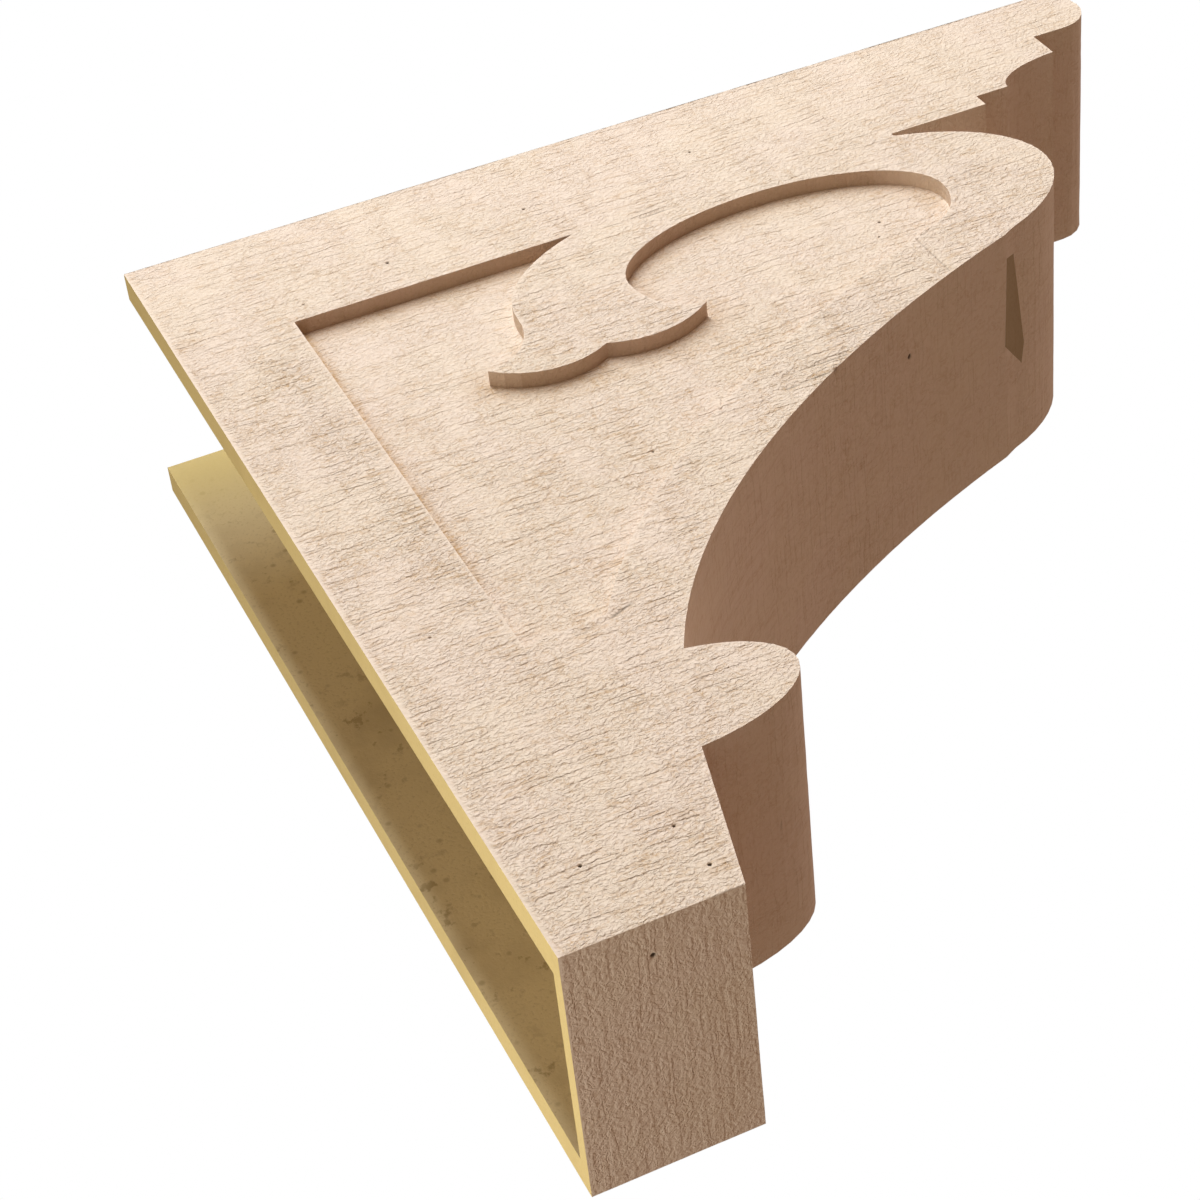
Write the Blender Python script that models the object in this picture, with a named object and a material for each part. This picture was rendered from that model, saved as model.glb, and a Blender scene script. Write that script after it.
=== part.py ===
"""A hollow corbel, moulded in rigid foam to look like one block of rough-sawn timber.

It is modelled upright, as it is fixed: +Z is up, the wall is the plane Y = 0, and the corbel
reaches out towards -Y. The origin is on the back rim, at the middle of the bottom wall's edge.

The side outline and the carving are given in inches on the cheek's own plane: the first number
is the distance out from the wall, the second the distance down from the top.
"""

import math

import bmesh
import bpy

INCH = 0.0254

HEIGHT = 14.0
PROJECTION = 14.0
WIDTH = 3.5
CHEEK = 0.39
SKIN = 0.20

# Nose, the half-round at the top of the front
NOSE_RADIUS = 0.5
NOSE_CENTRE = (PROJECTION - NOSE_RADIUS, NOSE_RADIUS)
NOSE_BACK = 13.0

# Cove under the nose, a concave quarter of an ellipse, and the two fillets behind it
COVE_CENTRE = (13.15, 2.0)
COVE_RADII = (1.16, 0.49)
FILLET_FRONT = 11.5
FILLET_LEVELS = (2.0, 2.25)
NOTCH = 10.05

# Big lobe, the long concave sweep under it, and the small lobe over the foot
LOBE_CENTRE = (8.8, 3.75)
LOBE_RADII = (2.70, 1.62)
LOBE_END = 10.25
SWEEP_CENTRE = (20.97, 12.617)
SWEEP_RADII = (18.459, 9.163)
SWEEP_START = 10.05
SWEEP_END = 3.02
SMALL_CENTRE = (2.32, 11.2)
SMALL_RADII = (1.68, 0.79)
FOOT_TOP = (2.5, 12.0)
FOOT_DEPTH = 2.0

# Sunk panel on each cheek, with a leaf left standing in it
PANEL_DEPTH = 0.22
PANEL_BACK = 1.54
PANEL_TOP = 2.25
PANEL_RIM = 0.9
SHOULDER_CENTRE = (6.93, 3.7)
SHOULDER_RADII = (2.95, 1.715)
LEAF_NECK = 5.50
LEAF_TIPS = ((3.22, 4.55), (6.16, 4.58))
LEAF_SCALLOPS = ((4.03, 4.93), (5.42, 4.89))
LEAF_CUSP = (4.71, 4.76)
ARCH_CENTRE = (7.75, 3.72)
ARCH_RADII = (2.25, 1.12)
ARCH_HEEL_RADIUS = 0.87
ARCH_HEEL_END = 67.0

# How far a cutter runs out past the faces that it opens
OVERRUN = 1.0
STEP_DEGREES = 6.0
SWEEP_PARTS = 28


def arc(centre, radii, start, end, step=STEP_DEGREES):
    """Return points round an ellipse, angles in degrees from outward to downward."""
    count = max(2, math.ceil(abs(end - start) / step))
    points = []
    for index in range(count + 1):
        angle = math.radians(start + (end - start) * index / count)
        points.append((centre[0] + radii[0] * math.cos(angle), centre[1] + radii[1] * math.sin(angle)))
    return points


def angle_at(out, centre, radii, below):
    """Return the angle at which an ellipse has the given distance out, on its upper or lower half."""
    angle = math.degrees(math.acos((out - centre[0]) / radii[0]))
    return angle if below else -angle


def grown(radii, amount):
    """Return an ellipse's radii made larger, or with a negative amount smaller."""
    return (radii[0] + amount, radii[1] + amount)


def arc_through(start, middle, end, parts=8):
    """Return points of the round arc through three points."""
    ax, ay = start
    bx, by = middle
    cx, cy = end
    double = 2.0 * (ax * (by - cy) + bx * (cy - ay) + cx * (ay - by))
    a2 = ax * ax + ay * ay
    b2 = bx * bx + by * by
    c2 = cx * cx + cy * cy
    ux = (a2 * (by - cy) + b2 * (cy - ay) + c2 * (ay - by)) / double
    uy = (a2 * (cx - bx) + b2 * (ax - cx) + c2 * (bx - ax)) / double
    radius = math.hypot(ax - ux, ay - uy)
    first = math.degrees(math.atan2(ay - uy, ax - ux))
    last = math.degrees(math.atan2(cy - uy, cx - ux))
    return arc((ux, uy), (radius, radius), first, last, abs(last - first) / parts)


def sweep(inset, first_out, last_out):
    """Return the long sweep, moved into the corbel by an inset, between two distances out."""
    radii = grown(SWEEP_RADII, inset)
    start = angle_at(first_out, SWEEP_CENTRE, radii, False)
    end = angle_at(last_out, SWEEP_CENTRE, radii, False)
    return arc(SWEEP_CENTRE, radii, start, end, abs(end - start) / SWEEP_PARTS)


def side_outline():
    """Return the corbel's outline from the side, from the top of the wall plane round to its foot."""
    points = [(0.0, 0.0)]
    points += arc(NOSE_CENTRE, (NOSE_RADIUS, NOSE_RADIUS), -90.0, 90.0, 18.0)
    points.append((NOSE_BACK, 2.0 * NOSE_RADIUS))
    cove_top = angle_at(NOSE_BACK, COVE_CENTRE, COVE_RADII, False)
    points += arc(COVE_CENTRE, COVE_RADII, cove_top, -180.0)
    points.append((FILLET_FRONT, FILLET_LEVELS[0]))
    points.append((FILLET_FRONT, FILLET_LEVELS[1]))
    points.append((NOTCH, FILLET_LEVELS[1]))
    lobe_top = angle_at(NOTCH, LOBE_CENTRE, LOBE_RADII, False)
    lobe_bottom = angle_at(LOBE_END, LOBE_CENTRE, LOBE_RADII, True)
    points += arc(LOBE_CENTRE, LOBE_RADII, lobe_top, lobe_bottom)
    points += sweep(0.0, SWEEP_START, SWEEP_END)
    small_top = angle_at(SWEEP_END, SMALL_CENTRE, SMALL_RADII, False)
    small_bottom = angle_at(FOOT_TOP[0], SMALL_CENTRE, SMALL_RADII, True)
    points += arc(SMALL_CENTRE, SMALL_RADII, small_top, small_bottom, 9.0)
    points += [FOOT_TOP, (FOOT_DEPTH, HEIGHT), (0.0, HEIGHT)]
    return points


def hollow_outline():
    """Return the hollow's outline, a skin inside the side outline, open to the wall and above.

    The nose and the small lobe are left solid.
    """
    front = NOSE_BACK - SKIN
    shelf = FILLET_LEVELS[0] - SKIN
    points = [(-OVERRUN, -OVERRUN), (front, -OVERRUN)]
    cove_radii = grown(COVE_RADII, SKIN)
    cove_top = angle_at(front, COVE_CENTRE, cove_radii, False)
    cove_end = math.degrees(math.asin((shelf - COVE_CENTRE[1]) / cove_radii[1]))
    points += arc(COVE_CENTRE, cove_radii, cove_top, -180.0 - cove_end)
    throat = NOTCH - SKIN
    points.append((throat, shelf))
    lobe_radii = grown(LOBE_RADII, -SKIN)
    lobe_top = angle_at(throat, LOBE_CENTRE, lobe_radii, False)
    lobe_bottom = angle_at(LOBE_END - SKIN, LOBE_CENTRE, lobe_radii, True)
    points += arc(LOBE_CENTRE, lobe_radii, lobe_top, lobe_bottom, 9.0)
    points += sweep(SKIN, SWEEP_START - SKIN, SWEEP_END - SKIN)
    slant = (FOOT_TOP[0] - FOOT_DEPTH) / (HEIGHT - FOOT_TOP[1])
    set_back = SKIN * math.hypot(1.0, slant)
    points.append((FOOT_TOP[0] - set_back, FOOT_TOP[1]))
    points.append((FOOT_DEPTH + slant * SKIN - set_back, HEIGHT - SKIN))
    points.append((-OVERRUN, HEIGHT - SKIN))
    return points


def panel_outline():
    """Return the sunk panel's outline, which goes round the leaf that hangs from its top."""
    points = [(PANEL_BACK, PANEL_TOP)]
    rise = math.degrees(math.asin((PANEL_TOP - SHOULDER_CENTRE[1]) / SHOULDER_RADII[1]))
    points += arc(SHOULDER_CENTRE, SHOULDER_RADII, -180.0 - rise, -180.0)
    back_tip, front_tip = LEAF_TIPS
    neck_back = SHOULDER_CENTRE[0] - SHOULDER_RADII[0]
    flare = (neck_back - back_tip[0], back_tip[1] - SHOULDER_CENTRE[1])
    points += arc((back_tip[0], SHOULDER_CENTRE[1]), flare, 0.0, 80.0, 12.0)[1:]
    points += arc_through(back_tip, LEAF_SCALLOPS[0], LEAF_CUSP)
    points += arc_through(LEAF_CUSP, LEAF_SCALLOPS[1], front_tip)[1:]
    flare = (front_tip[0] - LEAF_NECK, front_tip[1] - ARCH_CENTRE[1])
    points += arc((front_tip[0], ARCH_CENTRE[1]), flare, 100.0, 180.0, 12.0)[:-1]
    points += arc(ARCH_CENTRE, ARCH_RADII, -180.0, 0.0)
    heel = (ARCH_CENTRE[0] + ARCH_RADII[0] - ARCH_HEEL_RADIUS, ARCH_CENTRE[1])
    points += arc(heel, (ARCH_HEEL_RADIUS, ARCH_HEEL_RADIUS), 0.0, ARCH_HEEL_END, 12.0)[1:]
    foot_radii = grown(SMALL_RADII, PANEL_RIM)
    rim_radii = grown(SWEEP_RADII, PANEL_RIM)
    foot_front = SMALL_CENTRE[0] + PANEL_RIM / 4.0
    last_of_heel = points.pop()
    points += sweep(PANEL_RIM, last_of_heel[0], foot_front)
    foot_start = angle_at(foot_front, SMALL_CENTRE, foot_radii, False)
    foot_end = angle_at(PANEL_BACK, SMALL_CENTRE, foot_radii, False)
    lowest = SWEEP_CENTRE[1] + rim_radii[1] * math.sin(
        math.radians(angle_at(foot_front, SWEEP_CENTRE, rim_radii, False))
    )
    points += [point for point in arc(SMALL_CENTRE, foot_radii, foot_start, foot_end) if point[1] > lowest]
    return points


def make_prism(name, outline, left, right):
    """Make a closed prism from an outline in inches, between two distances across in metres."""
    mesh = bpy.data.meshes.new(name)
    shape = bmesh.new()
    corners = []
    for out, down in outline:
        height = (HEIGHT - SKIN / 2.0 - down) * INCH
        corners.append(shape.verts.new((left, -out * INCH, height)))
    face = shape.faces.new(corners)
    grown_side = bmesh.ops.extrude_face_region(shape, geom=[face])
    moved = [item for item in grown_side["geom"] if isinstance(item, bmesh.types.BMVert)]
    bmesh.ops.translate(shape, verts=moved, vec=(right - left, 0.0, 0.0))
    bmesh.ops.recalc_face_normals(shape, faces=shape.faces)
    shape.to_mesh(mesh)
    shape.free()
    prism = bpy.data.objects.new(name, mesh)
    bpy.context.scene.collection.objects.link(prism)
    return prism


def cut(body, cutter):
    """Take a cutter's shape out of a body, and hide the cutter."""
    cutter.hide_render = True
    cutter.display_type = "WIRE"
    modifier = body.modifiers.new(cutter.name, "BOOLEAN")
    modifier.operation = "DIFFERENCE"
    modifier.solver = "EXACT"
    modifier.object = cutter


def make_material(name, colour, roughness):
    """Make a plain non-metallic material."""
    material = bpy.data.materials.new(name)
    material.use_nodes = True
    shader = material.node_tree.nodes["Principled BSDF"]
    shader.inputs["Base Color"].default_value = (*colour, 1.0)
    shader.inputs["Roughness"].default_value = roughness
    shader.inputs["Metallic"].default_value = 0.0
    return material


def build():
    """Build the corbel."""
    for old in list(bpy.data.objects):
        bpy.data.objects.remove(old, do_unlink=True)

    half = WIDTH * INCH / 2.0
    inner = half - CHEEK * INCH
    floor = half - PANEL_DEPTH * INCH
    beyond = half + OVERRUN * INCH

    shell = make_prism("corbel_shell", side_outline(), -half, half)
    shell.data.materials.append(make_material("primed_foam", (0.78, 0.63, 0.48), 0.8))
    cut(shell, make_prism("hollow", hollow_outline(), -inner, inner))
    cut(shell, make_prism("near_panel", panel_outline(), -beyond, -floor))
    cut(shell, make_prism("far_panel", panel_outline(), floor, beyond))


build()
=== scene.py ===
"""The finish of a hollow moulded corbel: sawn-timber relief, tan primer, and bare foam behind.

The corbel reaches out from the wall plane Y = 0 towards -Y, with +Z up and X across its width.
"""
import logging
import math
import random
from dataclasses import dataclass, field
from enum import Enum
from functools import reduce
from typing import Iterable, Sequence

import bmesh
import bpy
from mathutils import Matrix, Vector
from mathutils.bvhtree import BVHTree


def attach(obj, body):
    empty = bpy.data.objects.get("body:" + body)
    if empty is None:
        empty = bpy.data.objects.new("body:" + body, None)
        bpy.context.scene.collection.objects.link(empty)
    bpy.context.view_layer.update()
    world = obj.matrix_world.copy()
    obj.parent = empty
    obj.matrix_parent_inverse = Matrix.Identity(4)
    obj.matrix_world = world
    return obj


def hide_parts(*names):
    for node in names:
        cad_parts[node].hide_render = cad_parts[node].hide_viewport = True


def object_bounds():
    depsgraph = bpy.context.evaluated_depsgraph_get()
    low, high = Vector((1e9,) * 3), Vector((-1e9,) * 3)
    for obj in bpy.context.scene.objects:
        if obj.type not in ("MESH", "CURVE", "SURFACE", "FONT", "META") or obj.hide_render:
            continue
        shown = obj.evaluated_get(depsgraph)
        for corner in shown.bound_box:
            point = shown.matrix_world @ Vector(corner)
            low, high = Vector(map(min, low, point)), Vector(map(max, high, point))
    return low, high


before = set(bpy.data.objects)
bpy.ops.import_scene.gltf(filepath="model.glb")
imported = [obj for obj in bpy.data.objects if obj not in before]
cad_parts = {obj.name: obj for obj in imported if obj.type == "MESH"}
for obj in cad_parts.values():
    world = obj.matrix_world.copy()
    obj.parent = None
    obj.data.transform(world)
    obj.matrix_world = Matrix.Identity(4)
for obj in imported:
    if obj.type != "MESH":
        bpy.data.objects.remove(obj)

CAD_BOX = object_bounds()
LOG = logging.getLogger("corbel")
SHELL_NODE = "corbel_shell"
INCH = 0.0254
TOUCH = 2e-5
AXES = (Vector((1, 0, 0)), Vector((0, 1, 0)), Vector((0, 0, 1)))
Triple = tuple[float, float, float]
Socket = bpy.types.NodeSocket
Tree = bpy.types.NodeTree
Face = bmesh.types.BMFace


class Zone(Enum):
    """What a stretch of the shell's surface is, and so how it is worked and finished."""

    CHEEK = 0
    MOULDING = 1
    FLOOR = 2
    WALL = 3
    RIM = 4
    CORE = 5
    PATCH = 6

    @property
    def label(self) -> str:
        """Return the name of the relief tree's input for this zone's finish."""
        return self.name.capitalize()


WORKED = {Zone.CHEEK: 1.0, Zone.FLOOR: 0.8, Zone.MOULDING: 0.5, Zone.WALL: 0.4, Zone.PATCH: 0.15}
FINISHED_APART = (Zone.MOULDING, Zone.WALL, Zone.RIM, Zone.CORE, Zone.PATCH)


def clamp(value: float) -> float:
    """Hold a value between 0 and 1."""
    return min(1.0, max(0.0, value))


def smooth(value: float, low: float, high: float) -> float:
    """Rise gently from 0 at a low value to 1 at a high one."""
    share = clamp((value - low) / (high - low))
    return share * share * (3.0 - 2.0 * share)


@dataclass(frozen=True)
class Dent:
    """A small round hole in the surface, where a bubble broke.

    Attributes:
        place: The hole's middle, on the surface, in metres.
        radius: The hole's radius in metres.
    """

    place: Triple
    radius: float


@dataclass(frozen=True)
class Split:
    """A thin drying crack, copied from the timber that the mould was taken from.

    Attributes:
        start: Its start, in inches out from the wall and down from the top.
        end: Its end, in the same way.
        width: Half its width in inches.
        depth: Its depth as a share of the deepest crack.
    """

    start: tuple[float, float]
    end: tuple[float, float]
    width: float
    depth: float


@dataclass(frozen=True)
class Layout:
    """The corbel's sizes, read from the solid's own box.

    Attributes:
        low: The solid's lowest corner in metres.
        high: Its highest corner in metres.
        cheek: The cheeks' thickness in inches.
        panel: The sunk panels' depth in inches.
        border: How far out from the wall the panels start, in inches.
    """

    low: Vector
    high: Vector
    cheek: float = 0.39
    panel: float = 0.22
    border: float = 1.54

    @property
    def half(self) -> float:
        """Return half the corbel's width in metres."""
        return (self.high.x - self.low.x) / 2.0

    @property
    def inner(self) -> float:
        """Return how far from the middle the cheeks' inner faces are, in metres."""
        return self.half - self.cheek * INCH

    @property
    def sunk(self) -> float:
        """Return how far from the middle the panels' floors are, in metres."""
        return self.half - self.panel * INCH

    def at(self, out: float, down: float, across: float) -> Vector:
        """Return the place in metres that is some inches out and down, and some metres across."""
        return Vector((across, -out * INCH, self.high.z - down * INCH))

    def read(self, place: Vector) -> tuple[float, float]:
        """Return how far out from the wall and down from the top a place is, in inches."""
        return -place.y / INCH, (self.high.z - place.z) / INCH


def link(data: bpy.types.ID, name: str) -> bpy.types.Object:
    """Put some data in the scene.

    Args:
        data: The mesh, camera or light.
        name: The new object's name.

    Returns:
        The new object.
    """
    made = bpy.data.objects.new(name, data)
    bpy.context.scene.collection.objects.link(made)
    return made


class Graph:
    """A small helper that adds nodes to a tree and wires them."""

    EASED = {"interpolation_type": "SMOOTHSTEP"}

    def __init__(self, tree: Tree) -> None:
        """Keep the tree that the nodes go in."""
        self.tree = tree

    def wire(self, value: object, socket: Socket) -> None:
        """Give an input its value.

        Args:
            value: A value, or an output socket to wire to it.
            socket: The input.
        """
        if isinstance(value, Socket):
            self.tree.links.new(value, socket)
        else:
            socket.default_value = value

    def add(self, kind: str, settings: dict | None = None, **inputs: object) -> bpy.types.Node:
        """Add a node, set it and wire its inputs.

        Args:
            kind: The node's type, such as ShaderNodeMath.
            settings: Values for the node's own properties.
            inputs: A value or an output socket for each input. An input named i0, i1 and so on
                is found by its number, and any other by its name with spaces for underscores.

        Returns:
            The node.
        """
        node = self.tree.nodes.new(kind)
        for key, value in (settings or {}).items():
            setattr(node, key, value)
        for key, value in inputs.items():
            numbered = key[0] == "i" and key[1:].isdigit()
            self.wire(value, node.inputs[int(key[1:]) if numbered else key.replace("_", " ")])
        return node

    def maths(self, operation: str, *values: object) -> Socket:
        """Add a Math node that works on some values, and return its output."""
        inputs = {f"i{index}": value for index, value in enumerate(values)}
        return self.add("ShaderNodeMath", {"operation": operation}, **inputs).outputs[0]

    def product(self, *values: object) -> Socket:
        """Multiply values, from the first to the last, and return the output."""
        return reduce(lambda made, value: self.maths("MULTIPLY", made, value), values)

    def total(self, *values: object) -> Socket:
        """Add values up, from the first to the last, and return the output."""
        return reduce(lambda made, value: self.maths("ADD", made, value), values)

    def most(self, *values: object) -> Socket:
        """Find the largest of some values and return the output."""
        return reduce(lambda made, value: self.maths("MAXIMUM", made, value), values)

    def remap(self, value: object, low: float, high: float, to_low: float, to_high: float) -> Socket:
        """Stretch a value from one range to another, smoothly and clamped, and return the output."""
        ends = {"i1": low, "i2": high, "i3": to_low, "i4": to_high}
        return self.add("ShaderNodeMapRange", self.EASED, i0=value, **ends).outputs[0]

    def vector(self, operation: str, first: object, second: object) -> bpy.types.Node:
        """Add a Vector Math node that works on two vectors."""
        return self.add("ShaderNodeVectorMath", {"operation": operation}, i0=first, i1=second)

    def join(self, x: Socket, y: Socket, z: Socket) -> Socket:
        """Join three values into a vector and return it."""
        return self.add("ShaderNodeCombineXYZ", None, X=x, Y=y, Z=z).outputs[0]

    def scaled(self, way: Socket, share: object) -> Socket:
        """Scale a vector by a number and return the output."""
        return self.add("ShaderNodeVectorMath", {"operation": "SCALE"}, i0=way, Scale=share).outputs[0]

    def noise(self, place: Socket, scale: float, detail: float, roughness: float = 0.5) -> bpy.types.Node:
        """Add a noise texture with some cells per unit of length and some finer layers."""
        layers = {"Detail": detail, "Roughness": roughness}
        return self.add("ShaderNodeTexNoise", None, Vector=place, Scale=scale, **layers)

    def mix(self, share: object, first: Triple | Socket, second: Triple | Socket) -> Socket:
        """Mix two colours.

        Args:
            share: How much there is of the second one.
            first: A colour or an output socket.
            second: A colour or an output socket.

        Returns:
            The output.
        """
        node = self.add("ShaderNodeMix", {"data_type": "RGBA"}, i0=share)
        for number, colour in ((6, first), (7, second)):
            self.wire(colour if isinstance(colour, Socket) else (*colour, 1.0), node.inputs[number])
        return node.outputs[2]


def new_group(name: str, kind: str, inputs: Sequence[tuple], outputs: Sequence[tuple]) -> tuple:
    """Make an empty node group with named sockets.

    Args:
        name: The group's name.
        kind: ShaderNodeTree or GeometryNodeTree.
        inputs: A name, a socket type and a default value or None for each input.
        outputs: A name and a socket type for each output.

    Returns:
        The group, its graph helper, its input node and its output node.
    """
    tree = bpy.data.node_groups.new(name, kind)
    for label, socket_type, default in inputs:
        socket = tree.interface.new_socket(name=label, in_out="INPUT", socket_type=socket_type)
        if default is not None:
            socket.default_value = default
    for label, socket_type in outputs:
        tree.interface.new_socket(name=label, in_out="OUTPUT", socket_type=socket_type)
    graph = Graph(tree)
    return tree, graph, graph.add("NodeGroupInput"), graph.add("NodeGroupOutput")


def new_material(name: str) -> tuple[bpy.types.Material, Graph, bpy.types.Node]:
    """Make a material.

    Args:
        name: Its name.

    Returns:
        The material, its graph helper and its shader.
    """
    material = bpy.data.materials.new(name)
    material.use_nodes = True
    return material, Graph(material.node_tree), material.node_tree.nodes["Principled BSDF"]


@dataclass(frozen=True)
class Grain:
    """Which way the timber's grain runs on a face, and so how its marks are drawn out.

    Attributes:
        along: The way of the grain, as a unit vector.
        across: The way across it on the face.
        through: The way into the face.
        lean: The torn strokes' lean from the grain, in degrees.
    """

    along: Triple
    across: Triple
    through: Triple
    lean: float = 6.0

    def cells(self, length: float, pitch: float, depth: float) -> Triple:
        """Return the cells per metre along X, Y and Z, where a cell has these sizes in metres."""
        rows = zip(self.along, self.across, self.through)
        return tuple(abs(a) / length + abs(b) / pitch + abs(c) / depth for a, b, c in rows)

    def strokes(self, length: float, pitch: float) -> tuple[Triple, Triple]:
        """Find the two ways that the leaning strokes are measured along.

        Args:
            length: A stroke's length in metres.
            pitch: Its width.

        Returns:
            Both ways, each as long as its cells per metre.
        """
        turn = math.radians(self.lean)
        forth = (math.cos(turn) / length, math.sin(turn) / length)
        aside = (-math.sin(turn) / pitch, math.cos(turn) / pitch)
        ways = tuple(zip(self.along, self.across))
        return tuple(tuple(one * a + two * b for a, b in ways) for one, two in (forth, aside))


def torn_grain_group() -> Tree:
    """Make the group for the sawn lines and torn fibres that are too fine for the mesh.

    Returns:
        A shader node group. Its height is in millimetres, and its other outputs are masks; Crease and Line
        mark where the finishes paint shade.
    """
    inputs = [
        ("Vector", "NodeSocketVector", None),
        ("Line cells", "NodeSocketVector", (1.0, 1.0, 1.0)),
        ("Band cells", "NodeSocketVector", (1.0, 1.0, 1.0)),
        ("Stroke way", "NodeSocketVector", (1.0, 0.0, 0.0)),
        ("Stroke side", "NodeSocketVector", (0.0, 1.0, 0.0)),
        ("Lines", "NodeSocketFloat", 0.1),
        ("Strokes", "NodeSocketFloat", 0.1),
    ]
    outputs = [(label, "NodeSocketFloat") for label in ("Height", "Crease", "Line", "Speck")]
    tree, graph, given, put = new_group("torn grain", "ShaderNodeTree", inputs, outputs)
    place = given.outputs["Vector"]
    eddies_per_metre, specks_per_metre, breaks_per_metre = 210.0, 1400.0, 95.0
    stroke_drift, line_drift = 0.0021, 0.0017
    speck_height, cross_line, snapped_line, deep_share = 0.095, 0.6, 0.3, 0.35

    def noise(vector: Socket, scale: float, detail: float) -> Socket:
        """Add a noise and return its value."""
        return graph.noise(vector, scale, detail).outputs["Fac"]

    def away(value: Socket, middle: float) -> Socket:
        """Return how far a value is from a middle one."""
        return graph.maths("ABSOLUTE", graph.maths("SUBTRACT", value, middle))

    def read(operation: str, vector: Socket, label: str) -> bpy.types.Node:
        """Set a vector against one of the group's inputs."""
        return graph.vector(operation, vector, given.outputs[label])

    eddy = graph.noise(place, eddies_per_metre, 3.0, 0.6).outputs["Color"]
    centred = graph.vector("SUBTRACT", eddy, (0.5, 0.5, 0.5)).outputs[0]
    bent = graph.vector("ADD", place, graph.scaled(centred, stroke_drift)).outputs[0]
    nearly = graph.vector("ADD", place, graph.scaled(centred, line_drift)).outputs[0]
    sawn = noise(read("MULTIPLY", nearly, "Line cells").outputs[0], 1.0, 1.5)
    band = noise(read("MULTIPLY", bent, "Band cells").outputs[0], 1.0, 2.0)
    forth = read("DOT_PRODUCT", bent, "Stroke way").outputs["Value"]
    aside = read("DOT_PRODUCT", bent, "Stroke side").outputs["Value"]
    leaning = graph.join(forth, aside, graph.product(band, 2.0))
    swell = noise(leaning, 1.0, 2.5)
    lump = away(noise(leaning, 0.8, 2.0), 0.5)
    broken = graph.remap(noise(leaning, 0.55, 1.0), 0.44, 0.60, 0.0, 1.0)
    specks = noise(place, specks_per_metre, 2.0)
    # Crease: the valleys and low places, which the finishes darken as painted shade.
    valley = graph.product(graph.remap(lump, 0.0, 0.05, 1.0, 0.0), broken)
    low = graph.remap(swell, 0.34, 0.47, 0.55, 0.0)
    crease = graph.product(graph.most(valley, low), graph.remap(band, 0.34, 0.58, 0.6, 1.0))
    snapped = graph.remap(noise(nearly, breaks_per_metre, 1.0), 0.40, 0.60, snapped_line, 1.0)
    # Line: the sawn lines' steps, which the finishes darken as painted shadow, and the lines across the
    # grain, which they darken too.
    across = graph.remap(away(band, 0.52), 0.0, 0.02, cross_line, 0.0)
    edge = graph.remap(away(sawn, 0.5), 0.0, 0.035, 1.0, 0.0)
    line = graph.product(graph.most(edge, across), snapped)
    lines = graph.product(graph.remap(sawn, 0.455, 0.545, 0.0, 1.0), snapped, given.outputs["Lines"])
    deep = graph.product(graph.remap(lump, 0.0, 0.12, 0.0, 1.0), deep_share)
    lumpy = graph.total(graph.remap(swell, 0.30, 0.70, 0.0, 1.0), deep)
    rough = graph.remap(band, 0.34, 0.56, 0.82, 1.0)
    strokes = graph.product(lumpy, rough, given.outputs["Strokes"])
    height = graph.total(lines, strokes, graph.product(specks, speck_height))
    for label, value in (("Height", height), ("Crease", crease), ("Line", line), ("Speck", specks)):
        graph.wire(value, put.inputs[label])
    return tree


def border_shade_group(layout: Layout) -> Tree:
    """Make the group for the painted shade on the panels beside their back border: a darker, mottled
    strip.

    Args:
        layout: The corbel's sizes.

    Returns:
        A shader node group. Its one output is a mask.
    """
    inputs, outputs = [("Vector", "NodeSocketVector", None)], [("Shade", "NodeSocketFloat")]
    tree, graph, given, put = new_group("border shade", "ShaderNodeTree", inputs, outputs)
    strip_width, highest, lowest, raggedness = 0.24, 2.1, 8.4, 0.004
    axes = graph.add("ShaderNodeSeparateXYZ", None, i0=given.outputs["Vector"])
    mottle = graph.noise(given.outputs["Vector"], 330.0, 3.0, 0.6).outputs["Fac"]
    ragged = graph.maths("MULTIPLY_ADD", mottle, raggedness, axes.outputs["Y"])
    start, end = (layout.at(out, 0.0, 0.0).y for out in (layout.border, layout.border + strip_width))
    beside = graph.remap(ragged, end + 0.002, start + 0.003, 0.0, 1.0)
    top, bottom = (layout.at(0.0, down, 0.0).z for down in (highest, lowest))
    lower = graph.remap(axes.outputs["Z"], bottom, bottom + 0.015, 0.0, 1.0)
    upper = graph.remap(axes.outputs["Z"], top, top + 0.001, 1.0, 0.0)
    side = graph.maths("ABSOLUTE", axes.outputs["X"])
    sunk = graph.remap(side, layout.half - 0.5 * layout.panel * INCH, layout.half, 1.0, 0.0)
    patchy = graph.remap(mottle, 0.42, 0.60, 1.0, 0.40)
    graph.wire(graph.product(beside, lower, upper, sunk, patchy), put.inputs["Shade"])
    return tree


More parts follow.
